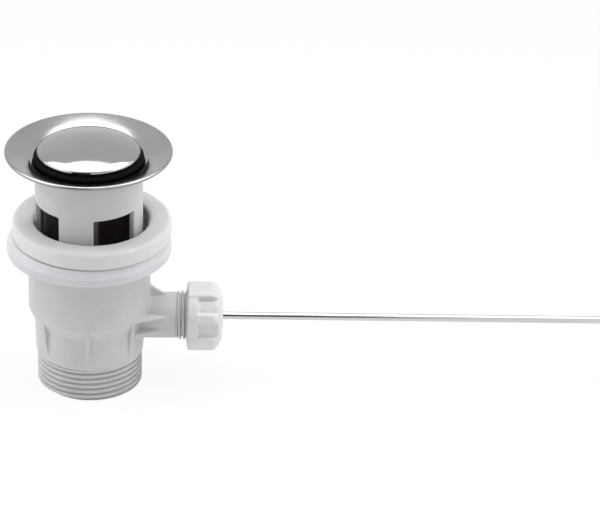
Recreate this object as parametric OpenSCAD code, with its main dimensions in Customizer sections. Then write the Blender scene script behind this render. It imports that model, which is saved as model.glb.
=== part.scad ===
// Pop up basin waste: flange, plug, overflow sleeve, moulded body and tilting lever.
// The outlet stands on z = 0, the waste's axis is Z, and the lever leaves along +X.

/* [Outlet] */
// Outside diameter of the outlet pipe thread
outlet_thread_d = 41.91; // [40:0.01:47.8]
// Length of the outlet thread
outlet_thread_h = 12.4; // [9:0.1:16]
// Chamfer at the end of the thread
outlet_chamfer = 0.9; // [0.3:0.1:1.5]
// Bore of the outlet
outlet_bore_d = 34.6; // [28:0.1:36]
// Height of the straight outlet bore
outlet_bore_h = 13; // [10:0.1:16]

/* [Body] */
// Height of the cone between the thread and the lower barrel
shoulder_h = 2.5; // [1.5:0.1:4]
// Height of the lower barrel
lower_barrel_h = 13.4; // [10:0.1:18]
// Diameter at the top of the lower barrel
lower_barrel_d = 43.8; // [42.6:0.1:46]
// Diameter at the foot of the lower barrel
lower_barrel_foot_d = 43; // [42.2:0.1:46]
// Height of the step between the two barrels
step_h = 5.3; // [3:0.1:7]
// Wall of the upper barrel round the sleeve
upper_barrel_wall = 2.95; // [2:0.05:5]
// Height of the upper barrel
upper_barrel_h = 24.3; // [18:0.1:30]
// Thickness of the collar
collar_h = 3.1; // [2:0.1:5]
// Radius of the fillet under the collar
collar_fillet_r = 1.5; // [0.5:0.1:2.5]
// Inside diameter of the chamber that the lever reaches into
chamber_d = 37.6; // [35:0.1:38.4]
// Height of the cone between the outlet bore and the chamber
chamber_cone_h = 3; // [1:0.1:4]
// Height of the sleeve's seat above the branch axis
seat_rise = 8.3; // [7.8:0.1:10]

/* [Ribs] */
// Thickness of the upright ribs
rib_t = 2.4; // [1.5:0.1:4]
// Angle of the ribs beside the branch
rib_angle = 41; // [35:1:50]

/* [Branch] */
// Height of the branch axis above the outlet end
branch_z = 28.3; // [27:0.1:29.5]
// Outside diameter of the spigot
spigot_d = 18.5; // [17.5:0.1:19]
// Bore of the spigot
spigot_bore_d = 13.8; // [13.4:0.1:14.4]
// How far the spigot thread stands out
spigot_thread_h = 0.5; // [0.3:0.05:0.8]
// Length of the spigot thread
spigot_thread_len = 11.8; // [10:0.1:13]
// How far the spigot runs past the ball's centre
spigot_past_ball = 1.5; // [0.5:0.1:2]
// Depth of the relief groove behind the thread
relief_depth = 0.35; // [0.1:0.05:0.6]
// Width of the relief groove
relief_w = 0.8; // [0.4:0.1:1.5]
// Ledge between the spigot's bore and the pocket of the ball
gland_ledge = 0.7; // [0.4:0.05:1]
// Depth of that pocket
gland_depth = 7.5; // [7:0.1:8.5]
// Thickness of the gussets at the barrel
gusset_t = 2; // [1.2:0.1:3]
// Thickness of the gussets at their ends
gusset_tip_t = 0.5; // [0.3:0.1:1]
// Height of the upper gussets from the branch axis, at the barrel
gusset_h = 13.6; // [11:0.1:15]
// Height of the lower pair of gussets
gusset_lower_h = 11.5; // [10.5:0.1:13]
// Distance of the gussets' ends from the relief groove
gusset_gap = 3.4; // [1.5:0.1:6]
// Angle of the upper pair of gussets from upright
gusset_upper_angle = 68; // [55:1:75]
// Angle of the lower pair of gussets from upright
gusset_lower_angle = 105; // [95:1:115]

/* [Overflow sleeve] */
// Outside diameter of the sleeve
sleeve_d = 42.6; // [41.6:0.1:43.2]
// Wall of the sleeve
sleeve_wall = 2.4; // [2:0.1:2.8]
// Number of overflow windows
window_count = 4; // [3:1:5]
// Angle that one window spans
window_span = 51; // [35:1:55]
// Angle of the first window's middle from the lever
window_angle = 32.4; // [0:0.1:60]
// Height of a window
window_h = 15; // [8:0.1:18]
// Wall left above the windows
window_drop = 15.1; // [13:0.1:18]
// Thickness of the sleeve's O-ring
o_ring_t = 1.32; // [1:0.01:1.5]
// Height of the O-ring above the sleeve's lower end
o_ring_rise = 4; // [2:0.1:8]

/* [Flange] */
// Height of the flange rim above the outlet end
rim_z = 102; // [98:0.1:110]
// Diameter of the flange
flange_d = 66; // [60:0.1:70]
// Sheet thickness of the flange
flange_t = 0.8; // [0.6:0.1:1.2]
// Depth of the dish
dish_depth = 4; // [3:0.1:6]
// Angle that the dish's sheet bends through from foot to rim
dish_bend = 13; // [4:0.5:20]
// Diameter at the foot of the dish
dish_foot_d = 45.2; // [44.8:0.1:48]
// Length of the neck below the dish
neck_h = 14; // [8:0.1:15]
// Radius of the bend from the dish into the neck
neck_bend_r = 0.6; // [0.3:0.1:0.9]
// Radius of the rolled rim
rim_bead_r = 0.8; // [0.5:0.05:1.2]
// Thickness of the seal under the flange
flange_seal_t = 1.2; // [0.8:0.1:2]

/* [Gasket and ring] */
// Diameter of the gasket
gasket_d = 63; // [56:0.1:66]
// Gap between the sleeve and the hole in the gasket
gasket_gap = 1.6; // [1.2:0.1:2.6]
// Thickness of the gasket
gasket_t = 6.5; // [4:0.1:8]
// Radius of the gasket's edges
gasket_edge_r = 1; // [0.4:0.1:1.8]
// How far the gasket lies off centre
gasket_shift = 1.1; // [0:0.1:1.1]
// Diameter of the backing ring
ring_d = 65.2; // [63:0.1:68]
// Wall of the backing ring round the collar
ring_wall = 2.55; // [1.8:0.05:4]
// How far the ring's upper edge is set in
ring_bevel = 1.6; // [0.5:0.1:3]
// Height of the ring's web above the collar
ring_web_h = 3.5; // [2.5:0.1:5]
// Height of the straight band of the ring
ring_band_h = 3.3; // [2:0.1:5]
// Gap between the sleeve and the hole in the backing ring
ring_gap = 1.7; // [0.7:0.1:2.7]
// Radius of the backing ring's lower edge
ring_edge_r = 0.7; // [0.3:0.1:1]

/* [Plug] */
// Diameter of the plug cap
cap_d = 40.8; // [38:0.1:43]
// Height of the cap's straight side
cap_side_h = 0.5; // [0.3:0.1:2]
// Radius of the cap's upper edge
cap_edge_r = 1.2; // [0.9:0.1:2]
// Radius of the cap's crown
cap_crown_r = 56; // [40:1:200]
// Sheet thickness of the cap
cap_wall = 0.6; // [0.5:0.1:0.8]
// Gap between the seal's lip and the foot of the dish
seal_lip_gap = 0.4; // [0.3:0.1:1]
// Height of the seal
seal_h = 3; // [2.8:0.1:5]
// Thickness of the seal's lip
seal_lip_t = 0.9; // [0.5:0.1:1.2]
// Height of the seal's straight band under the cap
seal_band_h = 1.2; // [0.5:0.1:1.4]
// Diameter of the guide's neck inside the seal
seal_neck_d = 28; // [22:0.1:30]
// Gap between the guide's collar and the neck of the flange
guide_collar_gap = 1.55; // [0.5:0.05:2.5]
// Thickness of that collar
guide_collar_h = 1.5; // [1:0.1:2]
// How far the collar stands up into the seal
guide_collar_seat = 0.5; // [0.3:0.1:0.8]
// Number of guide fins
fin_count = 4; // [3:1:6]
// Thickness of a guide fin
fin_t = 2.4; // [1.4:0.1:3]
// Angle of the first fin from the lever
fin_angle = 9.7; // [0:0.1:30]
// Length of the fins
fin_h = 39.3; // [20:0.1:44]
// Chamfer at the foot of a fin
fin_chamfer = 4.4; // [1:0.1:6]
// Diameter of the guide's hub
hub_d = 11; // [9.5:0.1:14]
// Length of the hub below the fins
hub_foot_h = 8; // [2:0.1:10]
// Diameter of the adjusting screw
screw_d = 6; // [5:0.1:7]
// Length of the screw inside the hub
screw_grip = 12; // [8:0.1:20]
// Width of the lock nut across its flats
lock_nut_af = 10; // [9:0.1:11]
// Thickness of the lock nut
lock_nut_h = 3.2; // [2.5:0.1:5]

/* [Lever] */
// Diameter of the lever rod
rod_d = 3; // [2.6:0.1:3.4]
// Length of the lever rod
rod_len = 220; // [150:1:260]
// Chamfer at the ends of the lever rod
rod_chamfer = 0.3; // [0.1:0.05:0.8]
// How far the rod reaches past the waste's axis
rod_reach = 4; // [2:0.1:8]
// Diameter of the pivot ball
ball_d = 10; // [9.6:0.1:10.6]
// Distance of the ball's centre from the waste's axis
ball_x = 45.5; // [45.2:0.1:46]
// Hole that the rod swings in
swing_hole_d = 7; // [6.8:0.1:7.2]
// Thickness of the inner ball seat
ball_seat_t = 3.9; // [3:0.1:4.6]
// Thickness of the ball seal
ball_seal_t = 3.2; // [2.4:0.1:3.6]
// How far the ball stands out past the ball seal
ball_seal_inset = 0.7; // [0.4:0.1:0.9]
// Thickness of the thrust washer
thrust_washer_t = 1.2; // [0.8:0.1:1.6]

/* [Spigot nut] */
// Diameter over the nut's wide pads
nut_d = 28.3; // [26.4:0.1:31]
// Diameter of the nut's plain band
nut_band_d = 27.6; // [25.5:0.1:28]
// Diameter over the nut's ribs
nut_rib_d = 27.2; // [25:0.1:27.8]
// Length of the plain band
nut_band_len = 4.6; // [3:0.1:6]
// Diameter of the pockets' floor
nut_floor_d = 22.8; // [22:0.1:24]
// Number of wide pads, with a rib between two pockets after each
nut_pad_count = 3; // [2:1:4]
// Angle that one pocket spans
nut_pocket_span = 29; // [15:1:30]
// Angle that one rib spans
nut_rib_span = 19; // [10:1:24]
// Angle of the first rib from the underside
nut_rib_angle = 8; // [0:1:60]
// Length of the nut's thread over the spigot
nut_grip = 8.3; // [6:0.1:9]
// Thickness of the nut's end wall
nut_end_t = 1.9; // [1.8:0.1:3.5]
// Diameter of the nut's flat end
nut_end_d = 16; // [12:0.1:18]
// Length of the rounded end of the nut
nut_round_len = 3.6; // [2:0.1:4]
// Angle that the rounded end bends through
nut_round_bend = 29; // [10:1:50]
// Width of the end ring that closes the pockets
nut_end_ring = 1.6; // [1.2:0.1:3]
// Diameter of the nut's flat open end
nut_mouth_d = 22; // [21:0.1:24]
// Length of the cone at the open end
nut_mouth_len = 0.8; // [0.4:0.1:1.5]
// Diameter of the boss round the rod
nut_boss_d = 9.6; // [8.6:0.1:11]
// Height of that boss
nut_boss_h = 0.5; // [0.3:0.1:1.2]

/* [Clearances] */
// Gap between faces that move past each other
run_gap = 0.3; // [0.2:0.05:0.4]
// Gap between parts that are fitted together
fit_gap = 0.05; // [0.02:0.01:0.08]
// Gap between the ball and its seats
ball_gap = 0.08; // [0.04:0.01:0.1]
// Gap between a rod or screw and its hole
bore_gap = 0.02; // [0.01:0.01:0.05]

/* [Hidden] */
$fn = 96;

// How far a cutter runs past the face that it cuts
over = 1;
// Steps of an arc in an outline
arc_steps = 8;
// How far the tapered ends of ribs and gussets sink into their wall
rib_sink = 0.2;
// How far a fin's root runs into the hub and the collar
fin_root = 0.8;

// Heights of the body, from the outlet end
shoulder_z = outlet_thread_h;
lower_z = shoulder_z + shoulder_h;
step_z = lower_z + lower_barrel_h;
upper_z = step_z + step_h;
collar_z = upper_z + upper_barrel_h;
body_top_z = collar_z + collar_h;
seat_z = branch_z + seat_rise;
socket_r = sleeve_d / 2 + fit_gap;
upper_barrel_d = 2 * (socket_r + upper_barrel_wall);
collar_d = ring_d - 2 * (ring_wall + fit_gap);

// Heights of the ring and gasket
ring_top_z = body_top_z + ring_web_h;
ring_hole_r = sleeve_d / 2 + ring_gap;

// Heights of the flange and the sleeve
dish_z = rim_z - dish_depth;
neck_z = dish_z - neck_h;
sleeve_r = sleeve_d / 2;
sleeve_in_r = sleeve_r - sleeve_wall;
neck_out_r = sleeve_in_r - fit_gap;
throat_r = neck_out_r - flange_t;
sleeve_top_z = dish_z - flange_t - flange_seal_t;
window_top_z = sleeve_top_z - window_drop;
o_ring_z = seat_z + o_ring_rise;
o_ring_r = socket_r - fit_gap - o_ring_t / 2;
o_ring_floor_r = o_ring_r - o_ring_t / 2 - fit_gap;
o_ring_groove_h = o_ring_t + 2 * fit_gap;

// Heights of the closed plug
seal_z = dish_z + run_gap;
cap_z = seal_z + seal_h;
cap_edge_x = cap_d / 2 - cap_edge_r;
crown_drop = sqrt(pow(cap_crown_r - cap_edge_r, 2) - pow(cap_edge_x, 2));
crown_centre = [0, cap_z + cap_side_h - crown_drop];
seal_lip_r = dish_foot_d / 2 - seal_lip_gap;
guide_collar_r = throat_r - guide_collar_gap;
guide_collar_top_z = seal_z + guide_collar_seat;
guide_collar_z = guide_collar_top_z - guide_collar_h;
fin_z = guide_collar_z - fin_h;
fin_r = throat_r - run_gap;
hub_z = fin_z - hub_foot_h;
screw_bore_r = screw_d / 2 + bore_gap;
screw_tip_z = branch_z + rod_d / 2 + run_gap;
screw_top_z = hub_z + screw_grip;

// Places along the branch, from the waste's axis
spigot_end_x = ball_x + spigot_past_ball;
spigot_thread_x = spigot_end_x - spigot_thread_len;
spigot_thread_d = spigot_d + 2 * spigot_thread_h;
relief_x = spigot_thread_x - relief_w;
relief_d = spigot_d - 2 * relief_depth;
gusset_end_x = relief_x - gusset_gap;
gland_x = spigot_end_x - gland_depth;
gland_d = spigot_bore_d + 2 * gland_ledge;
gland_fit_r = gland_d / 2 - fit_gap;
nut_x = spigot_end_x - nut_grip;
ball_seal_end_x = ball_x + ball_d / 2 - ball_seal_inset;
ball_seal_x = ball_seal_end_x - ball_seal_t;
washer_end_x = ball_seal_end_x + thrust_washer_t;
nut_end_x = washer_end_x + nut_end_t;
nut_shelf_x = spigot_end_x + run_gap;

// Points of an arc about centre c, from angle a0 to angle a1
function arc(c, r, a0, a1, steps = arc_steps) =
    [for (i = [0 : steps]) let (a = a0 + (a1 - a0) * i / steps) c + r * [cos(a), sin(a)]];

// Points of an arc from p to q that turns left through an angle
function bowed(p, q, bend) =
    let (r = norm(q - p) / (2 * sin(bend / 2)))
    let (a = atan2(q[1] - p[1], q[0] - p[0]) - bend / 2 - 90)
    arc(p - r * [cos(a), sin(a)], r, a, a + bend);

// Puts a shape that is drawn along Z on the branch axis
module along_branch(x = 0) {
    translate([x, 0, branch_z]) rotate([0, 90, 0]) children();
}

// A flat ring lying at height z
module ring_at(z, h, out_r, in_r) {
    translate([0, 0, z]) difference() {
        cylinder(h = h, r = out_r);
        translate([0, 0, -over]) cylinder(h = h + 2 * over, r = in_r);
    }
}

// Outside of the body without branch and ribs
module body_skin() {
    fillet_centre = [upper_barrel_d / 2 + collar_fillet_r, collar_z - collar_fillet_r];
    rotate_extrude() polygon(concat(
        [
            [0, 0],
            [outlet_thread_d / 2 - outlet_chamfer, 0],
            [outlet_thread_d / 2, outlet_chamfer],
            [outlet_thread_d / 2, shoulder_z],
            [lower_barrel_foot_d / 2, lower_z],
            [lower_barrel_d / 2, step_z],
            [upper_barrel_d / 2, upper_z]
        ],
        arc(fillet_centre, collar_fillet_r, 180, 90),
        [
            [collar_d / 2, collar_z],
            [collar_d / 2, body_top_z],
            [0, body_top_z]
        ]
    ));
}

// Waterway through the body, with the socket for the sleeve
module body_waterway() {
    rotate_extrude() polygon([
        [0, -over],
        [outlet_bore_d / 2, -over],
        [outlet_bore_d / 2, outlet_bore_h],
        [chamber_d / 2, outlet_bore_h + chamber_cone_h],
        [chamber_d / 2, seat_z],
        [socket_r, seat_z],
        [socket_r, body_top_z + over],
        [0, body_top_z + over]
    ]);
}

// Upright ribs under the step, flush with the upper barrel at their tops
module body_ribs() {
    for (a = [rib_angle, 90, 180 - rib_angle, -rib_angle, -90, rib_angle - 180])
        rotate([0, 0, a]) rotate([90, 0, 0]) translate([0, 0, -rib_t / 2])
            linear_extrude(height = rib_t) polygon([
                [outlet_bore_d / 2, lower_z],
                [lower_barrel_foot_d / 2 - rib_sink, lower_z],
                [upper_barrel_d / 2 - rib_sink, upper_z],
                [outlet_bore_d / 2, upper_z]
            ]);
}

// Tube of the side branch, with its relief groove and thread
module spigot_skin() {
    along_branch() rotate_extrude() polygon([
        [0, 0],
        [spigot_d / 2, 0],
        [spigot_d / 2, relief_x],
        [relief_d / 2, relief_x],
        [relief_d / 2, spigot_thread_x],
        [spigot_thread_d / 2, spigot_thread_x],
        [spigot_thread_d / 2, spigot_end_x],
        [0, spigot_end_x]
    ]);
}

// Sloping wedge between the upper barrel and the spigot, thinner towards its end
module gusset(a, h) {
    root_x = upper_barrel_d / 2;
    inner_x = chamber_d / 2;
    end_h = spigot_d / 2 - rib_sink;
    grow = (gusset_end_x - inner_x) / (gusset_end_x - root_x);
    inner_h = end_h + (h - end_h) * grow;
    inner_t = gusset_tip_t + (gusset_t - gusset_tip_t) * grow;
    translate([0, 0, branch_z]) rotate([a, 0, 0]) intersection() {
        rotate([90, 0, 0]) translate([0, 0, -inner_t]) linear_extrude(height = 2 * inner_t)
            polygon([
                [inner_x, 0],
                [inner_x, inner_h],
                [gusset_end_x, end_h],
                [gusset_end_x, 0]
            ]);
        translate([0, 0, -over]) linear_extrude(height = inner_h + 2 * over) polygon([
            [inner_x - over, -inner_t / 2],
            [inner_x, -inner_t / 2],
            [gusset_end_x, -gusset_tip_t / 2],
            [gusset_end_x, gusset_tip_t / 2],
            [inner_x, inner_t / 2],
            [inner_x - over, inner_t / 2]
        ]);
    }
}

module gussets() {
    gusset(0, gusset_h);
    for (side = [-1, 1]) {
        gusset(side * gusset_upper_angle, gusset_h);
        gusset(side * gusset_lower_angle, gusset_lower_h);
    }
}

module body() {
    color("lightgray") difference() {
        union() {
            body_skin();
            body_ribs();
            spigot_skin();
            gussets();
        }
        body_waterway();
        along_branch() cylinder(h = spigot_end_x + over, d = spigot_bore_d);
        along_branch(gland_x) cylinder(h = gland_depth + over, d = gland_d);
    }
}

// One overflow window, cut through the sleeve's wall
module window_cut(a) {
    rotate([0, 0, a - window_span / 2]) translate([0, 0, window_top_z - window_h])
        rotate_extrude(angle = window_span)
            translate([sleeve_in_r - over, 0]) square([sleeve_wall + 2 * over, window_h]);
}

module overflow_sleeve() {
    color("gainsboro") difference() {
        ring_at(seat_z, sleeve_top_z - seat_z, sleeve_r, sleeve_in_r);
        for (i = [0 : window_count - 1]) window_cut(window_angle + i * 360 / window_count);
        ring_at(o_ring_z - o_ring_groove_h / 2, o_ring_groove_h, sleeve_r + over, o_ring_floor_r);
    }
}

module sleeve_o_ring() {
    color("black") translate([0, 0, o_ring_z]) rotate_extrude()
        translate([o_ring_r, 0]) circle(d = o_ring_t);
}

// Dished sheet with a rolled rim and a neck that hangs in the sleeve
module flange() {
    foot_r = dish_foot_d / 2;
    rim_r = flange_d / 2 - rim_bead_r;
    chord_angle = atan(dish_depth / (rim_r - foot_r));
    dish_r = norm([rim_r - foot_r, dish_depth]) / (2 * sin(dish_bend / 2));
    foot_angle = chord_angle + dish_bend / 2;
    rim_angle = chord_angle - dish_bend / 2;
    dish_centre = [foot_r + dish_r * sin(foot_angle), dish_z - dish_r * cos(foot_angle)];
    under_foot_r = foot_r + flange_t * tan(foot_angle / 2);
    color("silver") rotate_extrude() {
        polygon(concat(
            arc(dish_centre, dish_r, 90 + rim_angle, 90 + foot_angle),
            arc([throat_r + neck_bend_r, dish_z - neck_bend_r], neck_bend_r, 90, 180),
            [
                [throat_r, neck_z],
                [neck_out_r, neck_z],
                [neck_out_r, dish_z - flange_t],
                [under_foot_r, dish_z - flange_t]
            ],
            arc(dish_centre, dish_r - flange_t, 90 + foot_angle, 90 + rim_angle)
        ));
        translate([rim_r, rim_z - rim_bead_r]) circle(r = rim_bead_r);
    }
}

module flange_seal() {
    color("dimgray") ring_at(sleeve_top_z, flange_seal_t, dish_foot_d / 2, neck_out_r + fit_gap);
}

// Ring that cups over the body's collar
module backing_ring() {
    edge_centre = [ring_d / 2 - ring_edge_r, collar_z + ring_edge_r];
    color("lavender") rotate_extrude() polygon(concat(
        [
            [ring_hole_r, body_top_z],
            [collar_d / 2 + fit_gap, body_top_z],
            [collar_d / 2 + fit_gap, collar_z]
        ],
        arc(edge_centre, ring_edge_r, -90, 0),
        [
            [ring_d / 2, collar_z + ring_band_h],
            [ring_d / 2 - ring_bevel, ring_top_z],
            [ring_hole_r, ring_top_z]
        ]
    ));
}

// Thick soft washer with round edges
module basin_gasket() {
    in_r = sleeve_r + gasket_gap;
    out_r = gasket_d / 2;
    e = gasket_edge_r;
    color("ivory") translate([gasket_shift, 0, ring_top_z]) rotate_extrude() {
        translate([in_r, e]) square([out_r - in_r, gasket_t - 2 * e]);
        translate([in_r + e, 0]) square([out_r - in_r - 2 * e, gasket_t]);
        for (r = [in_r + e, out_r - e], z = [e, gasket_t - e]) translate([r, z]) circle(r = e);
    }
}

module inner_ball_seat() {
    color("white") difference() {
        along_branch(gland_x) difference() {
            cylinder(h = ball_seat_t, r = gland_fit_r);
            translate([0, 0, -over]) cylinder(h = ball_seat_t + 2 * over, d = swing_hole_d);
        }
        ball_pocket();
    }
}

// Hollow that the ball turns in
module ball_pocket() {
    translate([ball_x, 0, branch_z]) sphere(r = ball_d / 2 + ball_gap);
}

module ball_seal() {
    color("black") difference() {
        along_branch(ball_seal_x) difference() {
            cylinder(h = ball_seal_t, r = gland_fit_r);
            translate([0, 0, -over]) cylinder(h = ball_seal_t + 2 * over, d = swing_hole_d);
        }
        ball_pocket();
    }
}

module thrust_washer() {
    color("white") along_branch(ball_seal_end_x) difference() {
        cylinder(h = thrust_washer_t, r = gland_fit_r);
        translate([0, 0, -over]) cylinder(h = thrust_washer_t + 2 * over, d = swing_hole_d);
    }
}

// Upright sector of the nut about angle a, out to radius r
module nut_sector(a, span, r) {
    in_r = spigot_thread_d / 2;
    rotate([0, 0, a - span / 2]) rotate_extrude(angle = span)
        translate([in_r, 0]) square([r - in_r, nut_end_x - nut_x]);
}

// Nut with wide pads, and between them pockets with a rib, drawn from its open end
module spigot_nut() {
    nut_len = nut_end_x - nut_x;
    shelf = nut_shelf_x - nut_x;
    period = 360 / nut_pad_count;
    pad_span = period - 2 * nut_pocket_span - nut_rib_span;
    color("lightgray") along_branch(nut_x) difference() {
        intersection() {
            rotate_extrude() polygon(concat(
                [
                    [0, 0],
                    [nut_mouth_d / 2, 0],
                    [nut_d / 2, nut_mouth_len]
                ],
                bowed([nut_d / 2, nut_len - nut_round_len], [nut_end_d / 2, nut_len], nut_round_bend),
                [
                    [nut_boss_d / 2, nut_len],
                    [nut_boss_d / 2, nut_len + nut_boss_h],
                    [0, nut_len + nut_boss_h]
                ]
            ));
            union() {
                cylinder(h = nut_len + nut_boss_h, d = nut_floor_d);
                cylinder(h = nut_band_len, d = nut_band_d);
                translate([0, 0, nut_len - nut_end_ring]) cylinder(h = nut_end_ring, d = nut_d);
                for (i = [0 : nut_pad_count - 1]) {
                    nut_sector(nut_rib_angle + i * period, nut_rib_span, nut_rib_d / 2);
                    nut_sector(nut_rib_angle + (i + 0.5) * period, pad_span, nut_d);
                }
            }
        }
        translate([0, 0, -over]) cylinder(h = shelf + over, d = spigot_thread_d + 2 * fit_gap);
        cylinder(h = washer_end_x - nut_x, r = gland_d / 2);
        cylinder(h = nut_len + nut_boss_h + over, d = swing_hole_d);
    }
}

module lever_rod() {
    color("silver") along_branch(-rod_reach) rotate_extrude() polygon([
        [0, 0],
        [rod_d / 2 - rod_chamfer, 0],
        [rod_d / 2, rod_chamfer],
        [rod_d / 2, rod_len - rod_chamfer],
        [rod_d / 2 - rod_chamfer, rod_len],
        [0, rod_len]
    ]);
}

module pivot_ball() {
    color("white") along_branch(ball_x) difference() {
        sphere(d = ball_d);
        translate([0, 0, -ball_d]) cylinder(h = 2 * ball_d, r = rod_d / 2 + bore_gap);
    }
}

// Outline of the crown at a depth below its outside, from radius r to the axis
function crown_arc(depth, r) =
    arc(crown_centre, cap_crown_r - depth, acos(r / (cap_crown_r - depth)), 90);

// Pressed cap, hollow underneath, with a crown that runs smoothly into its edge
module plug_cap() {
    r = cap_d / 2;
    crown_end = atan2(crown_drop, cap_edge_x);
    color("silver") rotate_extrude() polygon(concat(
        arc(crown_centre, cap_crown_r, 90, crown_end),
        arc([cap_edge_x, cap_z + cap_side_h], cap_edge_r, crown_end, 0),
        [[r, cap_z], [r - cap_wall, cap_z]],
        crown_arc(cap_wall, r - cap_wall)
    ));
}

module plug_seal() {
    collar_r = guide_collar_r + fit_gap;
    color("black") rotate_extrude() polygon([
        [seal_neck_d / 2 + fit_gap, cap_z],
        [cap_d / 2 - fit_gap, cap_z],
        [cap_d / 2 - fit_gap, cap_z - seal_band_h],
        [seal_lip_r, seal_z + seal_lip_t],
        [seal_lip_r, seal_z],
        [collar_r, seal_z],
        [collar_r, guide_collar_top_z],
        [seal_neck_d / 2 + fit_gap, guide_collar_top_z]
    ]);
}

// Head inside the cap, neck and collar that hold the seal, hub and guide fins
module plug_guide() {
    head_inset = cap_wall + fit_gap;
    color("black") difference() {
        union() {
            rotate_extrude() polygon(concat(
                [
                    [0, hub_z],
                    [hub_d / 2, hub_z],
                    [hub_d / 2, guide_collar_z],
                    [guide_collar_r, guide_collar_z],
                    [guide_collar_r, guide_collar_top_z],
                    [seal_neck_d / 2, guide_collar_top_z],
                    [seal_neck_d / 2, cap_z],
                    [cap_d / 2 - head_inset, cap_z]
                ],
                crown_arc(head_inset, cap_d / 2 - head_inset)
            ));
            for (i = [0 : fin_count - 1]) rotate([0, 0, fin_angle + i * 360 / fin_count])
                rotate([90, 0, 0]) translate([0, 0, -fin_t / 2]) linear_extrude(height = fin_t)
                    polygon([
                        [hub_d / 2 - fin_root, fin_z],
                        [fin_r - fin_chamfer, fin_z],
                        [fin_r, fin_z + fin_chamfer],
                        [fin_r, guide_collar_z],
                        [guide_collar_r - fin_root, guide_collar_z],
                        [guide_collar_r - fin_root, guide_collar_z + fin_root],
                        [hub_d / 2 - fin_root, guide_collar_z + fin_root]
                    ]);
        }
        translate([0, 0, hub_z - over]) cylinder(h = screw_grip + over, r = screw_bore_r);
    }
}

// Screw with a round tip that rests on the lever
module adjusting_screw() {
    r = screw_d / 2;
    color("goldenrod") {
        translate([0, 0, screw_tip_z + r]) cylinder(h = screw_top_z - screw_tip_z - r, r = r);
        translate([0, 0, screw_tip_z + r]) sphere(r = r);
    }
}

module adjusting_lock_nut() {
    color("goldenrod") translate([0, 0, hub_z - lock_nut_h]) difference() {
        cylinder(h = lock_nut_h, d = lock_nut_af / cos(30), $fn = 6);
        translate([0, 0, -over]) cylinder(h = lock_nut_h + 2 * over, r = screw_bore_r);
    }
}

body();
overflow_sleeve();
sleeve_o_ring();
flange();
flange_seal();
backing_ring();
basin_gasket();
inner_ball_seat();
ball_seal();
thrust_washer();
spigot_nut();
lever_rod();
pivot_ball();
plug_cap();
plug_seal();
plug_guide();
adjusting_screw();
adjusting_lock_nut();
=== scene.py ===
"""Dresses the pop up basin waste: moulded plastic, polished steel, rubber and a white studio."""

import math

import bmesh
import bpy
import numpy as np
import openvdb
from mathutils import Matrix, Vector


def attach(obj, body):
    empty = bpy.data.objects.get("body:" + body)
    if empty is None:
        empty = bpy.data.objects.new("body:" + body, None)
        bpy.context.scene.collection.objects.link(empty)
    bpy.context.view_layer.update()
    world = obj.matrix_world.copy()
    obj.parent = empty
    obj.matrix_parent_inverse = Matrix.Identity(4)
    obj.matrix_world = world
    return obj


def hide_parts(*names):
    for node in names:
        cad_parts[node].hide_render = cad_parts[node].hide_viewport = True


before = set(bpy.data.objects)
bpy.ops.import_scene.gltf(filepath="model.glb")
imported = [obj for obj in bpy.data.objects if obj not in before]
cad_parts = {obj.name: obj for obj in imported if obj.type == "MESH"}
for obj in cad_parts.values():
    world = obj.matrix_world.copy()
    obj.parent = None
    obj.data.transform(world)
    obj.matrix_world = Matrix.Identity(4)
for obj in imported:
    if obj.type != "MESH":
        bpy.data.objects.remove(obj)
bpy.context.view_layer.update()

# Lengths of the object are in millimetres, and MM takes them to metres
MM = 0.001
TURN = 2 * math.pi
TINY = 1e-6
FAR = 1e3

# Heights of the body, from the outlet end
SHOULDER_Z = 12.4
LOWER_Z = 14.9
STEP_Z = 28.3
UPPER_Z = 33.6
COLLAR_Z = 57.9
BODY_TOP_Z = 61.0
SEAT_Z = 36.6

# Body walls and waterway
OUTLET_R = 20.955
OUTLET_CHAMFER = 0.35
LOWER_FOOT_R = 21.5
LOWER_TOP_R = 21.9
UPPER_R = 24.3
WALL_SOFT = 0.35
BODY_EDGE = 0.4
COLLAR_R = 30.0
COLLAR_FILLET = 2.6
OUTLET_BORE_R = 17.3
OUTLET_BORE_H = 13.0
CHAMBER_R = 18.8
CHAMBER_FOOT_Z = 16.0
SOCKET_R = 21.35
BORE_SLOPE = 0.3
BORE_SOFT = 0.1
BORE_EDGE = 0.5
RIB_TOP_T = 2.1
RIB_FOOT_T = 1.1
RIB_ANGLES = (41, 90, 139)
RIB_EDGE = 0.3
RIB_FILLET = 0.3

# Outlet thread. Shares of half a pitch: where the crest ends, and where the floor begins
THREAD_PITCH = 2.309
THREAD_DEPTH = 1.2
THREAD_SHARES = (0.35, 0.92)
THREAD_TOP_Z = 14.2
THREAD_FADE = 0.4

# Side branch
BRANCH_Z = 28.3
BRANCH_FILLET = 0.9
SPIGOT_R = 9.25
SPIGOT_END_X = 47.0
SPIGOT_END_EDGE = 0.5
SPIGOT_THREAD_X = 35.2
SPIGOT_THREAD_R = 9.75
SPIGOT_THREAD_START = 0.2
SPIGOT_PITCH = 1.7
SPIGOT_CREST_X = 35.46
SPIGOT_THREAD_DEPTH = 1.1
SPIGOT_SHARES = (0.42, 0.7)
SPIGOT_SOFT = 0.12
RELIEF_X = 34.4
RELIEF_R = 8.9
RELIEF_SLOPE = 0.2
SPIGOT_BORE_R = 6.9
GLAND_R = 7.6
GLAND_X = 39.5
GUSSET_T = 2.0
GUSSET_TIP_T = 0.5
GUSSET_ROOT_X = 14.0
GUSSET_END_X = 31.0
GUSSET_FILLET = 0.6
# Angle of each gusset from upright, and its height at the barrel
GUSSETS = ((0, 13.6), (68, 13.6), (105, 11.5))

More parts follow.
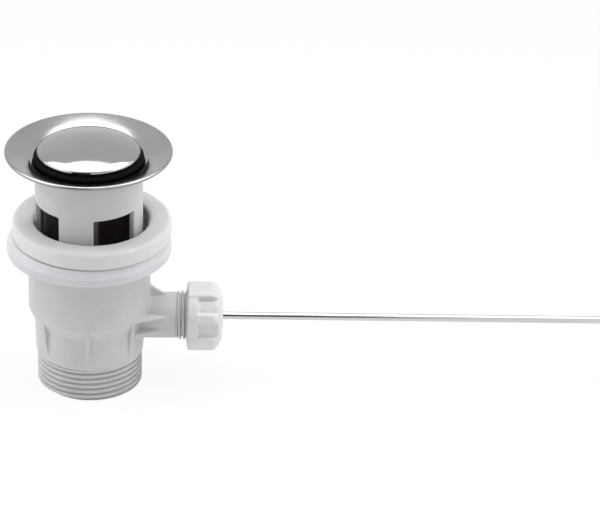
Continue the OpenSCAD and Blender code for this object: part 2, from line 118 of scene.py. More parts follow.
# Overflow sleeve
SLEEVE_R = 21.3
SLEEVE_IN_R = 18.9
SLEEVE_TOP_Z = 96.0
SLEEVE_CORNER = 0.3
WINDOW_COUNT = 4
WINDOW_SPAN = 51
WINDOW_ANGLE = 32.4
WINDOW_TOP_Z = 80.9
WINDOW_H = 15.0
WINDOW_CORNER = 0.7
WINDOW_EDGE = 0.6
O_RING_Z = 40.6
O_RING_FLOOR_R = 19.93
O_RING_GROOVE_H = 1.42

# Flange
RIM_Z = 102.0
RIM_R = 32.2
RIM_BEAD_R = 0.8
RIM_BEAD_TURN = 170
DISH_Z = 98.0
DISH_CURVE_R = 27.0
DISH_CONE_R = 28.2
DISH_CONE_ANGLE = 20
SHEET_T = 0.8
NECK_Z = 84.0
NECK_OUT_R = 18.85
NECK_BEND_R = 0.6

# Gasket and backing ring
GASKET_Z = 64.5
GASKET_T = 7.5
GASKET_R = 31.5
GASKET_HOLE_R = 22.6
GASKET_EDGE_R = 2.0
GASKET_SHIFT = 1.1
RING_R = 32.6
RING_HOLE_R = 23.0
RING_CUP_R = 30.05
RING_BAND_Z = 61.2
RING_BEVEL = 1.6
RING_EDGE_R = 0.6

# Plug
CAP_Z = 101.3
CAP_R = 20.4
CAP_TOP_Z = 106.47
CAP_LIP_R = 1.6
CAP_EDGE_R = 7.0
CAP_EDGE_Z = 96.85
CAP_EDGE_MID_R = 15.26
CAP_WALL = 0.6
SEAL_Z = 98.3
SEAL_LIP_R = 21.7
SEAL_LIP_T = 0.9
SEAL_BAND_H = 1.2
SEAL_NECK_R = 14.0
SEAL_GAP = 0.05
SEAL_EDGE_R = 0.35
HEAD_R = 17.0
HEAD_TOP_Z = 103.6
GUIDE_COLLAR_R = 16.5
GUIDE_COLLAR_Z = 97.3
GUIDE_COLLAR_TOP_Z = 98.8
GUIDE_COLLAR_EDGE = 0.4
GUIDE_EDGE = 0.6
FIN_COUNT = 4
FIN_ANGLE = 9.7
FIN_T = 2.4
FIN_R = 17.75
FIN_Z = 58.0
FIN_CHAMFER = 4.4
FIN_FILLET = 1.2
HUB_R = 5.5
HUB_Z = 50.0

# Adjusting screw and its lock nut
SCREW_R = 3.0
SCREW_PITCH = 1.0
SCREW_THREAD_DEPTH = 0.5
SCREW_SHARES = (0.05, 0.95)
SCREW_TIP_Z = 30.1
SCREW_TOP_Z = 62.0
SCREW_EDGE = 0.3
SCREW_BORE_R = 3.02
LOCK_NUT_Z = 46.8
LOCK_NUT_AF = 10.0
LOCK_NUT_SIDES = (30, 90, 150)
LOCK_NUT_EDGE = 0.2
LOCK_NUT_BEVEL = 1.7
LOCK_NUT_BEVEL_REACH = 2.6

# Lever
ROD_R = 1.5
ROD_START_X = -4.0
ROD_END_X = 216.0
ROD_CHAMFER = 0.3

# Spigot nut
NUT_X = 38.7
NUT_LEN = 14.5
NUT_R = 14.15
NUT_PADS = 3
NUT_FILLET = 0.7
NUT_FACE_EDGE = 0.5
NUT_FLOOR_R = 11.9
NUT_POCKET_SPAN = 29
NUT_POCKET_EDGE = 0.8
NUT_BAND_R = 13.6
NUT_BAND_LEN = 4.6
NUT_BAND_EDGE = 0.6
NUT_BAND_FILLET = 1.2
NUT_RIB_R = 13.6
NUT_RIB_SPAN = 19
NUT_RIB_ANGLE = 8
NUT_RIB_EDGE = 1.6
NUT_ROUND_LEN = 3.6
NUT_ROUND_BEND = 40
NUT_END_R = 8.0
NUT_END_RING = 1.6
NUT_MOUTH_R = 11.0
NUT_MOUTH_LEN = 0.8
NUT_MOUTH_EDGE = 0.4
NUT_BOSS_R = 4.8
NUT_BOSS_H = 0.2
NUT_BOSS_EDGE = 0.4
NUT_BOSS_FILLET = 0.5
NUT_SHELF = 8.6
NUT_BORE_R = 9.8
NUT_BORE_SLOPE = 0.2
NUT_BORE_EDGE = 0.4
NUT_GLAND_END = 12.3
SWING_HOLE_R = 3.5

# Meshing: room around each piece, how far fine lines run past a thread, and the grids' steps
MARGIN = 1.2
GUIDE_HEADROOM = 5
LOCK_NUT_CORNER = 1
FINE_REACH = 1
BODY_STEP = 0.4
MOULD_STEP = 0.35
NUT_STEP = 0.22
LOCK_NUT_STEP = 0.2
THREAD_STEP = 0.16
SPIGOT_THREAD_STEP = 0.13
FIELD_BAND = 1.0
ADAPTIVITY = 0.02
PROBE = 0.02
SETTLE_ROUNDS = 3
SETTLE_MOVE = 0.1
LEAST_SLOPE = 0.1
CORNER_SHARE = 0.45
SEGMENTS = 192
STEEL_SEGMENTS = 256
ROD_SEGMENTS = 48
SHARP_ANGLE = 35


# Fields: negative inside a shape, positive outside, about the distance in millimetres
def join(a, b, k):
    """Union of two fields, with a fillet about k wide."""
    near = np.maximum(k - np.abs(a - b), 0) / k
    return np.minimum(a, b) - near * near * k / 4


def common(a, b, k):
    """Intersection of two fields, with edges rounded about k wide."""
    return -join(-a, -b, k)


def cut(a, b, k):
    """Field a less field b, with edges rounded about k wide."""
    return -join(-a, b, k)


def slab(u, low, high):
    """Field of the space between two parallel planes."""
    return np.maximum(low - u, u - high)


def panel(u, v, half_u, half_v, corner):
    """Field of a rectangle with round corners about the origin of u and v."""
    out_u = np.abs(u) - half_u + corner
    out_v = np.abs(v) - half_v + corner
    outside = np.hypot(np.maximum(out_u, 0), np.maximum(out_v, 0))
    return outside + np.minimum(np.maximum(out_u, out_v), 0) - corner


def sector(rho, around, span):
    """Field of a sector about the direction that angles are counted from."""
    return rho * np.sin(np.abs(around) - math.radians(span) / 2)


def profile(t, stations, radii, soften):
    """Radius along a straight-sided profile, with its corners softened."""
    shifts = (-soften, 0, soften)
    softened = sum(np.interp(t + shift, stations, radii) for shift in shifts)
    return (softened / len(shifts)).astype(t.dtype)


def wrapped(angle, first, count):
    """Angle from the nearest of count evenly spread directions."""
    pitch = TURN / count
    return np.mod(angle - math.radians(first) + pitch / 2, pitch) - pitch / 2


def turned(x, y, degrees):
    """Coordinates along and across a direction in the plane."""
    c = math.cos(math.radians(degrees))
    s = math.sin(math.radians(degrees))
    return x * c + y * s, y * c - x * s


def groove(turns, shares):
    """0 on a thread's crest and 1 in its groove."""
    crest, floor = shares
    share = 2 * np.abs(np.mod(turns + 0.5, 1) - 0.5)
    t = np.clip((share - crest) / (floor - crest), 0, 1)
    return t * t * (3 - 2 * t)


def body_skin(x, y, z):
    """Outside of the two barrels, with the outlet's thread and the collar."""
    rho = np.hypot(x, y)
    turns = z / THREAD_PITCH - np.arctan2(y, x) / TURN
    fade = np.clip((THREAD_TOP_Z - z) / THREAD_FADE, 0, 1)
    stations = (0, SHOULDER_Z, LOWER_Z, STEP_Z, UPPER_Z, BODY_TOP_Z)
    radii = (OUTLET_R, OUTLET_R, LOWER_FOOT_R, LOWER_TOP_R, UPPER_R, UPPER_R)
    wall = profile(z, stations, radii, WALL_SOFT)
    wall = wall - THREAD_DEPTH * fade * groove(turns, THREAD_SHARES)
    barrel = common(rho - wall, -z, BODY_EDGE)
    lead_in = (rho - OUTLET_R + OUTLET_CHAMFER - z) / math.sqrt(2)
    barrel = common(barrel, lead_in, BODY_EDGE)
    collar_mid = (COLLAR_Z + BODY_TOP_Z) / 2
    collar_half = (BODY_TOP_Z - COLLAR_Z) / 2
    collar = panel(rho, z - collar_mid, COLLAR_R, collar_half, BODY_EDGE)
    barrel = np.maximum(barrel, z - collar_mid)
    return join(barrel, collar, COLLAR_FILLET)


def body_ribs(x, y, z):
    """Upright ribs under the step, the same on both sides of the branch."""
    ribs = FAR
    ends = (LOWER_Z, UPPER_Z)
    edge = np.interp(z, ends, (LOWER_FOOT_R, UPPER_R)).astype(z.dtype)
    half_t = np.interp(z, ends, (RIB_FOOT_T / 2, RIB_TOP_T / 2)).astype(z.dtype)
    for angle in RIB_ANGLES:
        along, across = turned(x, np.abs(y), angle)
        rib = common(np.abs(across) - half_t, along - edge, RIB_EDGE)
        rib = np.maximum(rib, OUTLET_BORE_R - along)
        ribs = np.minimum(ribs, rib)
    return common(ribs, slab(z, *ends), BODY_EDGE)


def body_branch(x, y, z):
    """Spigot with its groove and thread, and the gussets that hold it."""
    up = z - BRANCH_Z
    rho = np.hypot(y, up)
    turns = (x - SPIGOT_CREST_X) / SPIGOT_PITCH - np.arctan2(-y, up) / TURN
    stations = (
        0,
        RELIEF_X,
        RELIEF_X + RELIEF_SLOPE,
        SPIGOT_THREAD_X - RELIEF_SLOPE,
        SPIGOT_THREAD_X,
    )
    radii = (SPIGOT_R, SPIGOT_R, RELIEF_R, RELIEF_R, SPIGOT_THREAD_R)
    wall = profile(x, stations, radii, SPIGOT_SOFT)
    threaded = np.clip((x - SPIGOT_THREAD_X) / SPIGOT_THREAD_START, 0, 1)
    wall = wall - SPIGOT_THREAD_DEPTH * threaded * groove(turns, SPIGOT_SHARES)
    branch = common(rho - wall, slab(x, 0, SPIGOT_END_X), SPIGOT_END_EDGE)
    run = GUSSET_END_X - UPPER_R
    taper = (GUSSET_T - GUSSET_TIP_T) / 2 / run
    half_t = GUSSET_TIP_T / 2 + taper * (GUSSET_END_X - x)
    for angle, root_h in GUSSETS:
        slope = (SPIGOT_R - root_h) / run
        height, across = turned(up, np.abs(y), angle)
        edge = (height - root_h - slope * (x - UPPER_R)) / math.hypot(1, slope)
        gusset = common((np.abs(across) - half_t) / math.hypot(1, taper), edge, BODY_EDGE)
        gusset = np.maximum(gusset, -height)
        gusset = np.maximum(gusset, slab(x, GUSSET_ROOT_X, GUSSET_END_X))
        branch = join(branch, gusset, GUSSET_FILLET)
    return branch


def body_field(x, y, z):
    """Body with its ribs and branch, less the waterway and the branch's bore."""
    rho = np.hypot(x, y)
    shape = join(body_skin(x, y, z), body_ribs(x, y, z), RIB_FILLET)
    shape = join(shape, body_branch(x, y, z), BRANCH_FILLET)
    heights = (OUTLET_BORE_H, CHAMBER_FOOT_Z, SEAT_Z - BORE_SLOPE, SEAT_Z)
    bore = profile(z, heights, (OUTLET_BORE_R, CHAMBER_R, CHAMBER_R, SOCKET_R), BORE_SOFT)
    shape = cut(shape, rho - bore, BORE_EDGE)
    places = (GLAND_X - BORE_SLOPE, GLAND_X)
    branch_bore = profile(x, places, (SPIGOT_BORE_R, GLAND_R), BORE_SOFT)
    from_axis = np.hypot(y, z - BRANCH_Z)
    return cut(shape, np.maximum(from_axis - branch_bore, -x), BORE_EDGE)


def sleeve_field(x, y, z):
    """Tube with its overflow windows and the groove of its sealing ring."""
    rho = np.hypot(x, y)
    half_t = (SLEEVE_R - SLEEVE_IN_R) / 2
    half_h = (SLEEVE_TOP_Z - SEAT_Z) / 2
    tube = panel(rho - SLEEVE_R + half_t, z - SEAT_Z - half_h, half_t, half_h, SLEEVE_CORNER)
    half_span = math.radians(WINDOW_SPAN) / 2
    around = wrapped(np.arctan2(y, x), WINDOW_ANGLE, WINDOW_COUNT)
    middle = WINDOW_TOP_Z - WINDOW_H / 2
    window = panel(around * rho, z - middle, half_span * rho, WINDOW_H / 2, WINDOW_CORNER)
    sleeve = cut(tube, window, WINDOW_EDGE)
    ring_groove = np.maximum(O_RING_FLOOR_R - rho, np.abs(z - O_RING_Z) - O_RING_GROOVE_H / 2)
    return np.maximum(sleeve, -ring_groove)


def nut_round(rho, along):
    """Field of the nut's rounded end, an arc turned about the branch."""
    bend = math.radians(NUT_ROUND_BEND)
    drop = NUT_R - NUT_END_R
    radius = math.hypot(drop, NUT_ROUND_LEN) / (2 * math.sin(bend / 2))
    start = math.atan2(NUT_ROUND_LEN, -drop) - bend / 2 - math.pi / 2
    centre_r = NUT_R - radius * math.cos(start)
    centre_x = NUT_LEN - NUT_ROUND_LEN - radius * math.sin(start)
    return np.hypot(rho - centre_r, along - centre_x) - radius


def nut_field(x, y, z):
    """Nut with wide pads, and between them pockets with a rounded rib."""
    along = x - NUT_X
    down = BRANCH_Z - z
    rho = np.hypot(y, down)
    outside = common(rho - NUT_R, nut_round(rho, along), NUT_FILLET)
    flare = NUT_R - NUT_MOUTH_R
    mouth = (rho - NUT_MOUTH_R) * NUT_MOUTH_LEN - along * flare
    outside = common(outside, mouth / math.hypot(NUT_MOUTH_LEN, flare), NUT_MOUTH_EDGE)
    outside = common(outside, slab(along, 0, NUT_LEN), NUT_FACE_EDGE)
    period = 360 / NUT_PADS
    pad_span = period - 2 * NUT_POCKET_SPAN - NUT_RIB_SPAN
    angle = np.arctan2(y, down)
    pads = sector(rho, wrapped(angle, NUT_RIB_ANGLE + period / 2, NUT_PADS), pad_span)
    rib = sector(rho, wrapped(angle, NUT_RIB_ANGLE, NUT_PADS), NUT_RIB_SPAN)
    rib = common(rho - NUT_RIB_R, rib, NUT_RIB_EDGE)
    band = common(rho - NUT_BAND_R, along - NUT_BAND_LEN, NUT_BAND_EDGE)
    filled = join(rho - NUT_FLOOR_R, pads, NUT_FILLET)
    filled = join(filled, rib, NUT_FILLET)
    filled = join(filled, band, NUT_BAND_FILLET)
    filled = join(filled, NUT_LEN - NUT_END_RING - along, NUT_FILLET)
    nut = common(outside, filled, NUT_POCKET_EDGE)
    boss = common(rho - NUT_BOSS_R, slab(along, 0, NUT_LEN + NUT_BOSS_H), NUT_BOSS_EDGE)
    nut = join(nut, boss, NUT_BOSS_FILLET)
    stations = (
        NUT_SHELF,
        NUT_SHELF + NUT_BORE_SLOPE,
        NUT_GLAND_END,
        NUT_GLAND_END + NUT_BORE_SLOPE,
    )
    bore = profile(along, stations, (NUT_BORE_R, GLAND_R, GLAND_R, SWING_HOLE_R), BORE_SOFT)
    return cut(nut, rho - bore, NUT_BORE_EDGE)


def guide_field(x, y, z):
    """Hub with fins, the collar under the seal, and the head that the cap holds."""
    rho = np.hypot(x, y)
    hub = common(rho - HUB_R, slab(z, HUB_Z, CAP_Z), GUIDE_EDGE)
    around = wrapped(np.arctan2(y, x), FIN_ANGLE, FIN_COUNT)
    out = rho * np.cos(around)
    fin = common(np.abs(rho * np.sin(around)) - FIN_T / 2, out - FIN_R, GUIDE_EDGE)
    fin = common(fin, slab(z, FIN_Z, GUIDE_COLLAR_TOP_Z), GUIDE_EDGE)
    foot = (out - FIN_R + FIN_CHAMFER - z + FIN_Z) / math.sqrt(2)
    shape = join(hub, common(fin, foot, GUIDE_EDGE), FIN_FILLET)
    collar_slab = slab(z, GUIDE_COLLAR_Z, GUIDE_COLLAR_TOP_Z)
    collar = common(rho - GUIDE_COLLAR_R, collar_slab, GUIDE_COLLAR_EDGE)
    shape = join(shape, collar, GUIDE_EDGE)
    neck = np.maximum(rho - SEAL_NECK_R, slab(z, GUIDE_COLLAR_Z, HEAD_TOP_Z))
    head = np.maximum(rho - HEAD_R, slab(z, CAP_Z, HEAD_TOP_Z))
    shape = np.minimum(np.minimum(shape, neck), head)
    screw_hole = np.maximum(rho - SCREW_BORE_R, z - SCREW_TOP_Z)
    return cut(shape, screw_hole, SCREW_EDGE)


def screw_field(x, y, z):
    """Threaded shank with a round tip."""
    rho = np.hypot(x, y)
    turns = z / SCREW_PITCH - np.arctan2(y, x) / TURN
    wall = SCREW_R - SCREW_THREAD_DEPTH * groove(turns, SCREW_SHARES)
    shank = common(rho - wall, slab(z, SCREW_TIP_Z + SCREW_R, SCREW_TOP_Z), SCREW_EDGE)
    tip = np.sqrt(rho * rho + (z - SCREW_TIP_Z - SCREW_R) ** 2) - SCREW_R
    return np.minimum(shank, tip)


def lock_nut_field(x, y, z):
    """Hexagon nut with bevelled corners."""
    rho = np.hypot(x, y)
    sides = -FAR
    for angle in LOCK_NUT_SIDES:
        along, _ = turned(x, y, angle)
        sides = np.maximum(sides, np.abs(along) - LOCK_NUT_AF / 2)
    nut = common(sides, slab(z, LOCK_NUT_Z, HUB_Z), LOCK_NUT_EDGE)
    middle = (LOCK_NUT_Z + HUB_Z) / 2
    bevel = rho + LOCK_NUT_BEVEL * np.abs(z - middle) - LOCK_NUT_AF / 2 - LOCK_NUT_BEVEL_REACH
    nut = common(nut, bevel / math.hypot(1, LOCK_NUT_BEVEL), LOCK_NUT_EDGE)
    return cut(nut, rho - SCREW_BORE_R, SCREW_EDGE)


# Meshes
def add_object(name, data):
    """Puts a mesh, lamp or camera into the scene."""
    made = bpy.data.objects.new(name, data)
    bpy.context.scene.collection.objects.link(made)
    return made


def slope_of(field, points):
    """Gradient of a field at a list of points."""
    steps = np.eye(3) * PROBE
    pairs = [field(*(points + s).T) - field(*(points - s).T) for s in steps]
    return np.stack(pairs, axis=1) / (2 * PROBE)


def ruler(start, *parts):
    """Grid lines along one axis: each part is where it stops and its step."""
    lines = [start]
    for stop, step in parts:
        count = math.ceil((stop - lines[-1]) / step)
        lines.extend(np.linspace(lines[-1], stop, count + 1)[1:])
    return np.array(lines, np.float32)


def ruler_across(radius, step):
    """Grid lines across a round piece."""
    return ruler(-radius - MARGIN, (radius + MARGIN, step))


def field_piece(name, axes, field):
    """Closed smooth mesh of the surface where a field is zero, found on a grid of lines."""
    grid = openvdb.FloatGrid(FIELD_BAND)
    values = field(*np.meshgrid(*axes, indexing="ij", sparse=True))
    grid.copyFromArray(np.clip(values, -FIELD_BAND, FIELD_BAND).astype(np.float32))
    places, triangles, quads = grid.convertToPolygons(0.0, ADAPTIVITY)
    columns = [np.interp(p, np.arange(len(lines)), lines) for p, lines in zip(places.T, axes)]
    points = np.stack(columns, axis=1)
    for _ in range(SETTLE_ROUNDS):
        slope = slope_of(field, points)
        length = np.maximum((slope * slope).sum(axis=1), LEAST_SLOPE)
        move = slope * (field(*points.T) / length)[:, None]
        points = points - np.clip(move, -SETTLE_MOVE, SETTLE_MOVE)
    slope = slope_of(field, points)
    normals = slope / np.maximum(np.linalg.norm(slope, axis=1), TINY)[:, None]
    corners = points[quads[:, :3]]
    facing = np.cross(corners[:, 1] - corners[:, 0], corners[:, 2] - corners[:, 0])
    if (facing * normals[quads[:, 0]]).sum() < 0:
        quads = quads[:, ::-1]
        triangles = triangles[:, ::-1]
    mesh = bpy.data.meshes.new(name)
    mesh.from_pydata((points * MM).tolist(), [], triangles.tolist() + quads.tolist())
    mesh.shade_smooth()
    mesh.normals_split_custom_set_from_vertices(normals.tolist())
    return add_object(name, mesh)


def arc(centre, radius, start, end, steps):
    """Points of an arc, with its angles in degrees."""
    angles = np.radians(np.linspace(start, end, steps + 1))
    return [(centre[0] + radius * math.cos(a), centre[1] + radius * math.sin(a)) for a in angles]


def rounded(corners, radius, steps=5):
    """Outline with each corner rounded."""
    points = []
    count = len(corners)
    for i, corner in enumerate(corners):
        here = Vector(corner)
        back = Vector(corners[i - 1]) - here
        ahead = Vector(corners[(i + 1) % count]) - here
        half = back.angle(ahead) / 2
        longest = CORNER_SHARE * min(back.length, ahead.length)
        reach = min(radius / math.tan(half), longest)
        start = here + back.normalized() * reach
        end = here + ahead.normalized() * reach
        for t in np.linspace(0, 1, steps + 1):
            points.append(tuple(start.lerp(here, t).lerp(here.lerp(end, t), t)))
    return points


def lathe(name, outline, centre=(0, 0), segments=SEGMENTS, along_x=False):
    """Revolved closed outline of (radius, height) points, with sharp edges kept sharp."""
    bm = bmesh.new()
    rings = []
    for r, h in outline:
        ring = []
        for i in range(segments if r > TINY else 1):
            a = TURN * i / segments
            point = (centre[0] + r * math.cos(a), centre[1] + r * math.sin(a), h)
            if along_x:
                point = (h, r * math.cos(a), BRANCH_Z + r * math.sin(a))
            ring.append(bm.verts.new(Vector(point) * MM))
        rings.append(ring)
    for lower, upper in zip(rings, rings[1:] + rings[:1]):
        for i in range(segments):
            j = (i + 1) % segments
            corners = [
                lower[i % len(lower)],
                lower[j % len(lower)],
                upper[j % len(upper)],
                upper[i % len(upper)],
            ]
            distinct = list(dict.fromkeys(corners))
            if len(distinct) > 2:
                bm.faces.new(distinct)
    bmesh.ops.recalc_face_normals(bm, faces=bm.faces)
    mesh = bpy.data.meshes.new(name)
    bm.to_mesh(mesh)
    bm.free()
    mesh.shade_smooth()
    mesh.set_sharp_from_angle(angle=math.radians(SHARP_ANGLE))
    return add_object(name, mesh)


def flange_outline():
    """Dish with a curved foot and a straight slope, a rolled rim and the neck of the flange."""
    cone = math.radians(DISH_CONE_ANGLE)
    cone_z = RIM_Z - (RIM_R - DISH_CONE_R) * math.tan(cone)
    centre = (
        DISH_CONE_R + DISH_CURVE_R * math.sin(cone),
        cone_z - DISH_CURVE_R * math.cos(cone),
    )
    foot = math.acos((DISH_Z - centre[1]) / DISH_CURVE_R)
    foot_r = centre[0] - DISH_CURVE_R * math.sin(foot)
    under_foot_r = foot_r + SHEET_T * math.tan(foot / 2)
    curve_start = 90 + math.degrees(foot)
    curve_end = 90 + DISH_CONE_ANGLE
    bead_centre = (RIM_R, RIM_Z - RIM_BEAD_R)
    bead_end = curve_end - RIM_BEAD_TURN
    throat_r = NECK_OUT_R - SHEET_T
    bend_centre = (throat_r + NECK_BEND_R, DISH_Z - NECK_BEND_R)
    return (
        arc(centre, DISH_CURVE_R, curve_start, curve_end, steps=20)
        + arc(bead_centre, RIM_BEAD_R, curve_end, bead_end, steps=16)
        + arc(centre, DISH_CURVE_R - SHEET_T, curve_end, curve_start, steps=20)
        + [(under_foot_r, DISH_Z - SHEET_T), (NECK_OUT_R, DISH_Z - SHEET_T)]
        + [(NECK_OUT_R, NECK_Z), (throat_r, NECK_Z)]
        + arc(bend_centre, NECK_BEND_R, 180, 90, steps=8)
    )


def cap_outline():
    """Pressed cap: a round crown that runs smoothly into a wide round edge and a small lip."""
    edge_centre = (CAP_EDGE_MID_R, CAP_EDGE_Z)
    rise = CAP_TOP_Z - CAP_EDGE_Z
    crown_r = (rise ** 2 + CAP_EDGE_MID_R ** 2 - CAP_EDGE_R ** 2) / (2 * (rise - CAP_EDGE_R))
    crown_centre = (0, CAP_TOP_Z - crown_r)
    crown_end = math.degrees(math.acos(CAP_EDGE_MID_R / (crown_r - CAP_EDGE_R)))
    inward = CAP_EDGE_R - CAP_LIP_R
    lip_turn = math.acos((CAP_R - CAP_LIP_R - CAP_EDGE_MID_R) / inward)
    lip_centre = (CAP_R - CAP_LIP_R, CAP_EDGE_Z + inward * math.sin(lip_turn))
    edge_end = math.degrees(lip_turn)
    lip_end = math.degrees(math.asin((CAP_Z - lip_centre[1]) / CAP_LIP_R))
    inside_r = CAP_EDGE_R - CAP_WALL
    inside_end = math.degrees(math.acos((CAP_R - CAP_WALL - CAP_EDGE_MID_R) / inside_r))
    return (
        arc(crown_centre, crown_r, 90, crown_end, steps=32)
        + arc(edge_centre, CAP_EDGE_R, crown_end, edge_end, steps=20)[1:]
        + arc(lip_centre, CAP_LIP_R, edge_end, lip_end, steps=8)[1:]
        + [(CAP_R - CAP_WALL, CAP_Z)]
        + arc(edge_centre, inside_r, inside_end, crown_end, steps=10)
        + arc(crown_centre, crown_r - CAP_WALL, crown_end, 90, steps=16)[1:]
    )


def seal_outline():
    """Seal under the cap, with a lip that lies on the dish."""
    return rounded([
        (SEAL_NECK_R + SEAL_GAP, CAP_Z),
        (CAP_R - SEAL_GAP, CAP_Z),
        (CAP_R - SEAL_GAP, CAP_Z - SEAL_BAND_H),
        (SEAL_LIP_R, SEAL_Z + SEAL_LIP_T),
        (SEAL_LIP_R, SEAL_Z),
        (GUIDE_COLLAR_R + SEAL_GAP, SEAL_Z),
        (GUIDE_COLLAR_R + SEAL_GAP, GUIDE_COLLAR_TOP_Z),
        (SEAL_NECK_R + SEAL_GAP, GUIDE_COLLAR_TOP_Z),
    ], SEAL_EDGE_R)


def ring_outline():
    """Ring that cups over the body's collar."""
    return rounded([
        (RING_HOLE_R, BODY_TOP_Z),
        (RING_CUP_R, BODY_TOP_Z),
        (RING_CUP_R, COLLAR_Z),
        (RING_R, COLLAR_Z),
        (RING_R, RING_BAND_Z),
        (RING_R - RING_BEVEL, GASKET_Z),
        (RING_HOLE_R, GASKET_Z),
    ], RING_EDGE_R)


def gasket_outline():
    """Thick gasket with wide round edges, as it is before a basin presses it."""
    return rounded([
        (GASKET_HOLE_R, GASKET_Z),
        (GASKET_R, GASKET_Z),
        (GASKET_R, GASKET_Z + GASKET_T),
        (GASKET_HOLE_R, GASKET_Z + GASKET_T),
    ], GASKET_EDGE_R, steps=8)


def rod_outline():
    """Rod with bevelled ends, along the branch."""
    return [
        (0, ROD_START_X),
        (ROD_R - ROD_CHAMFER, ROD_START_X),
        (ROD_R, ROD_START_X + ROD_CHAMFER),
        (ROD_R, ROD_END_X - ROD_CHAMFER),
        (ROD_R - ROD_CHAMFER, ROD_END_X),
        (0, ROD_END_X),
    ]


# Materials. Noise runs from about NOISE_LOW to NOISE_HIGH
NOISE_LOW = 0.3
NOISE_HIGH = 0.7
PATCH_DETAIL = 3
GRAIN_DETAIL = 4
RELIEF_STRENGTH = 0.5


def material(name, dark, light, blotch, roughness, grain, bump, **sockets):
    """Principled surface with two close tints, uneven gloss and a fine relief.
    blotch and grain are the sizes of the patches and of the relief, in millimetres."""
    made = bpy.data.materials.new(name + "_look")
    made["slot"] = name
    made.use_nodes = True
    nodes = made.node_tree.nodes
    links = made.node_tree.links
    shader = nodes["Principled BSDF"]
    place = nodes.new("ShaderNodeTexCoord")
    patches = nodes.new("ShaderNodeTexNoise")
    patches.inputs["Scale"].default_value = 1 / (blotch * MM)
    patches.inputs["Detail"].default_value = PATCH_DETAIL
    links.new(place.outputs["Object"], patches.inputs["Vector"])
    tint = nodes.new("ShaderNodeValToRGB")
    tint.color_ramp.elements[0].position = NOISE_LOW
    tint.color_ramp.elements[1].position = NOISE_HIGH
    tint.color_ramp.elements[0].color = (*dark, 1)
    tint.color_ramp.elements[1].color = (*light, 1)
    links.new(patches.outputs["Fac"], tint.inputs["Fac"])
    links.new(tint.outputs["Color"], shader.inputs["Base Color"])
    fine = nodes.new("ShaderNodeTexNoise")
    fine.inputs["Scale"].default_value = 1 / (grain * MM)
    fine.inputs["Detail"].default_value = GRAIN_DETAIL
    links.new(place.outputs["Object"], fine.inputs["Vector"])
    gloss = nodes.new("ShaderNodeMapRange")
    gloss.inputs["From Min"].default_value = NOISE_LOW
    gloss.inputs["From Max"].default_value = NOISE_HIGH
    gloss.inputs["To Min"].default_value = roughness[0]
    gloss.inputs["To Max"].default_value = roughness[1]
    links.new(fine.outputs["Fac"], gloss.inputs["Value"])
    links.new(gloss.outputs["Result"], shader.inputs["Roughness"])
    relief = nodes.new("ShaderNodeBump")
    relief.inputs["Strength"].default_value = RELIEF_STRENGTH
    relief.inputs["Distance"].default_value = bump * MM
    links.new(fine.outputs["Fac"], relief.inputs["Height"])
    links.new(relief.outputs["Normal"], shader.inputs["Normal"])
    for socket, value in sockets.items():
        shader.inputs[socket.replace("_", " ")].default_value = value
    return made


body_plastic = material(
    "body_plastic", dark=(0.56, 0.57, 0.57), light=(0.60, 0.61, 0.61),
    blotch=9, roughness=(0.36, 0.46), grain=0.5, bump=0.01)
sleeve_plastic = material(
    "sleeve_plastic", dark=(0.61, 0.615, 0.62), light=(0.65, 0.655, 0.66),
    blotch=9, roughness=(0.38, 0.48), grain=0.5, bump=0.01)
nut_plastic = material(
    "nut_plastic", dark=(0.67, 0.68, 0.675), light=(0.71, 0.72, 0.715),
    blotch=7, roughness=(0.34, 0.44), grain=0.5, bump=0.01)
ring_plastic = material(
    "ring_plastic", dark=(0.63, 0.63, 0.66), light=(0.67, 0.67, 0.70),
    blotch=9, roughness=(0.40, 0.50), grain=0.5, bump=0.01)
gasket_foam_rubber = material(
    "gasket_foam_rubber", dark=(0.70, 0.70, 0.69), light=(0.74, 0.74, 0.73),
    blotch=5, roughness=(0.62, 0.74), grain=0.35, bump=0.03)
stainless = material(
    "stainless", dark=(0.32, 0.32, 0.326), light=(0.35, 0.35, 0.356),
    blotch=14, roughness=(0.07, 0.10), grain=1.5, bump=0.0001, Metallic=1)
brushed_stainless = material(
    "brushed_stainless", dark=(0.30, 0.30, 0.306), light=(0.33, 0.33, 0.336),
    blotch=14, roughness=(0.15, 0.19), grain=1.5, bump=0.0001, Metallic=1)
brushed_stainless["slot"] = "stainless"
polished_rod = material(
    "polished_rod", dark=(0.58, 0.58, 0.585), light=(0.63, 0.63, 0.635),
    blotch=10, roughness=(0.09, 0.14), grain=0.6, bump=0.001, Metallic=1)
black_rubber = material(
    "black_rubber", dark=(0.002, 0.002, 0.002), light=(0.004, 0.004, 0.004),
    blotch=4, roughness=(0.4, 0.55), grain=0.3, bump=0.01, Specular_IOR_Level=0.02)
grey_rubber = material(
    "grey_rubber", dark=(0.10, 0.10, 0.105), light=(0.13, 0.13, 0.135),
    blotch=4, roughness=(0.55, 0.7), grain=0.3, bump=0.015)
dark_plastic = material(
    "dark_plastic", dark=(0.095, 0.075, 0.068), light=(0.115, 0.092, 0.085),
    blotch=5, roughness=(0.3, 0.42), grain=0.4, bump=0.01)
white_plastic = material(
    "white_plastic", dark=(0.70, 0.70, 0.69), light=(0.75, 0.75, 0.74),
    blotch=5, roughness=(0.3, 0.4), grain=0.4, bump=0.008)
brass = material(
    "brass", dark=(0.62, 0.43, 0.17), light=(0.70, 0.50, 0.22),
    blotch=5, roughness=(0.22, 0.34), grain=0.4, bump=0.004, Metallic=1)


def paint(piece, look):
    piece.data.materials.clear()
    piece.data.materials.append(look)


def dress(piece, look, body, node):
    """Gives a new piece its material and its body, and hides the node that it stands for."""
    paint(piece, look)
    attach(piece, body)
    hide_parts(node)


